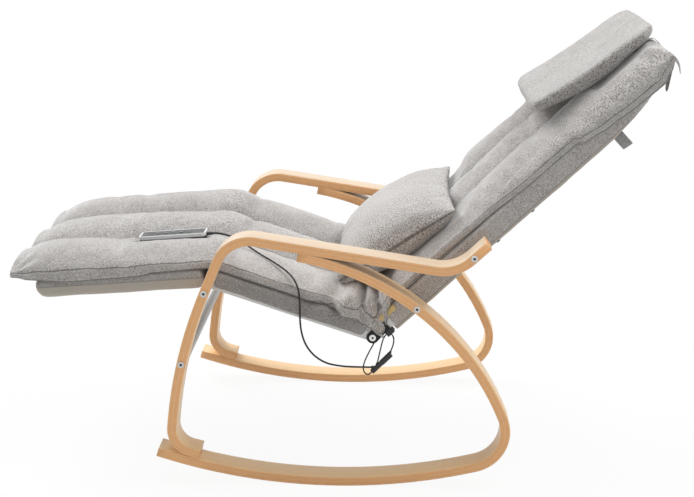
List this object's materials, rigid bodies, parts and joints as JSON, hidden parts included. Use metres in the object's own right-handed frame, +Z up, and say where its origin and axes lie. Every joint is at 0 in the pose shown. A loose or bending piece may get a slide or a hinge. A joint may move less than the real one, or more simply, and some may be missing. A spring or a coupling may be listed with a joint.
{
  "type": "massage rocking chair",
  "caption": "Reclining massage rocking chair with bent laminated wood arms and rockers, a quilted fabric cushion, loose pillows, a tilting leg rest and a wired hand control.",
  "frame": {"origin": "on the floor under the middle of the chair's outline, midway between the side frames", "axes": "+X to the rear, from the leg rest to the head, +Y to the sitter's right, +Z up"},
  "size_m": [1.3761, 0.67, 0.9524],
  "materials": {
    "bent_beech": "satin",
    "plywood": "matte",
    "zinc_steel": "satin",
    "grey_tube": "satin",
    "black_steel": "satin",
    "elastic_webbing": "matte",
    "motor_can": "satin",
    "foam": "matte",
    "panel_linen": "matte",
    "cushion_linen": "matte",
    "ribbon": "matte",
    "grey_webbing": "matte",
    "dark_stud": "satin",
    "black_cord": "matte",
    "black_plastic": "matte",
    "pale_plastic": "gloss",
    "circuit_board": "matte",
    "key_plastic": "matte"
  },
  "bodies": {
    "chair": {"left_arm_and_leg": "bent_beech", "right_arm_and_leg": "bent_beech", "left_rocker": "bent_beech", "right_rocker": "bent_beech", "frame_bolts": "zinc_steel", "foot_lap_screws": "zinc_steel", "front_stretcher": "grey_tube", "tube_inserts": "zinc_steel", "bolt_spacers": "zinc_steel", "seat_frame": "black_steel", "seat_webbing": "elastic_webbing", "seat_motors": "motor_can", "seat_foam": "foam", "seat_cover": "panel_linen", "left_ratchet_drum": "black_steel", "right_ratchet_drum": "black_steel", "left_hinge_plate": "black_steel", "right_hinge_plate": "black_steel", "hinge_rivets": "zinc_steel", "back_frame": "black_steel", "back_webbing": "elastic_webbing", "back_motors": "motor_can", "back_foam": "foam", "back_rear_wadding": "foam", "back_cover": "panel_linen", "back_studs": "dark_stud", "back_strap_loop": "grey_webbing", "seat_cushion": "cushion_linen", "back_cushion": "cushion_linen", "head_pillow": "cushion_linen", "left_head_tie": "ribbon", "right_head_tie": "ribbon", "remote_cord": "black_cord", "harness_plug": "black_plastic", "harness_socket": "black_plastic", "cable_clamp": "black_plastic", "seat_lead": "black_cord", "back_lead": "black_cord", "heater_lead": "black_cord"},
    "legrest": {"legrest_frame": "black_steel", "left_legrest_eye": "black_steel", "right_legrest_eye": "black_steel", "legrest_board": "plywood", "legrest_motors": "motor_can", "legrest_foam": "foam", "legrest_cover": "panel_linen", "legrest_cushion": "cushion_linen", "remote_lower_shell": "black_plastic", "remote_upper_shell": "pale_plastic", "remote_board": "circuit_board", "remote_strain_relief": "black_cord"},
    "lumbar": {"lumbar_pillow": "cushion_linen"},
    "power_key": {"remote_power_key": "key_plastic"},
    "heat_key": {"remote_heat_key": "key_plastic"},
    "zone_key": {"remote_zone_key": "key_plastic"},
    "mode_key": {"remote_mode_key": "key_plastic"},
    "speed_key": {"remote_speed_key": "key_plastic"}
  },
  "joints": [
    {"name": "legrest_tilt", "type": "hinge", "parent": "chair", "child": "legrest", "pos_m": [-0.274, 0, 0.418], "axis": [0, -1, 0], "range_deg": [0, 45]},
    {"name": "lumbar_lift", "type": "slide", "parent": "chair", "child": "lumbar", "axis": [-0.6884, 0, 0.7254], "range_m": [0, 0.2]},
    {"name": "power_key_press", "type": "slide", "parent": "legrest", "child": "power_key", "axis": [0.0785, 0, -0.9969], "range_m": [0, 0.001], "stiffness_N_per_m": 300},
    {"name": "heat_key_press", "type": "slide", "parent": "legrest", "child": "heat_key", "axis": [0.0785, 0, -0.9969], "range_m": [0, 0.001], "stiffness_N_per_m": 300},
    {"name": "zone_key_press", "type": "slide", "parent": "legrest", "child": "zone_key", "axis": [0.0785, 0, -0.9969], "range_m": [0, 0.001], "stiffness_N_per_m": 300},
    {"name": "mode_key_press", "type": "slide", "parent": "legrest", "child": "mode_key", "axis": [0.0785, 0, -0.9969], "range_m": [0, 0.001], "stiffness_N_per_m": 300},
    {"name": "speed_key_press", "type": "slide", "parent": "legrest", "child": "speed_key", "axis": [0.0785, 0, -0.9969], "range_m": [0, 0.001], "stiffness_N_per_m": 300}
  ]
}
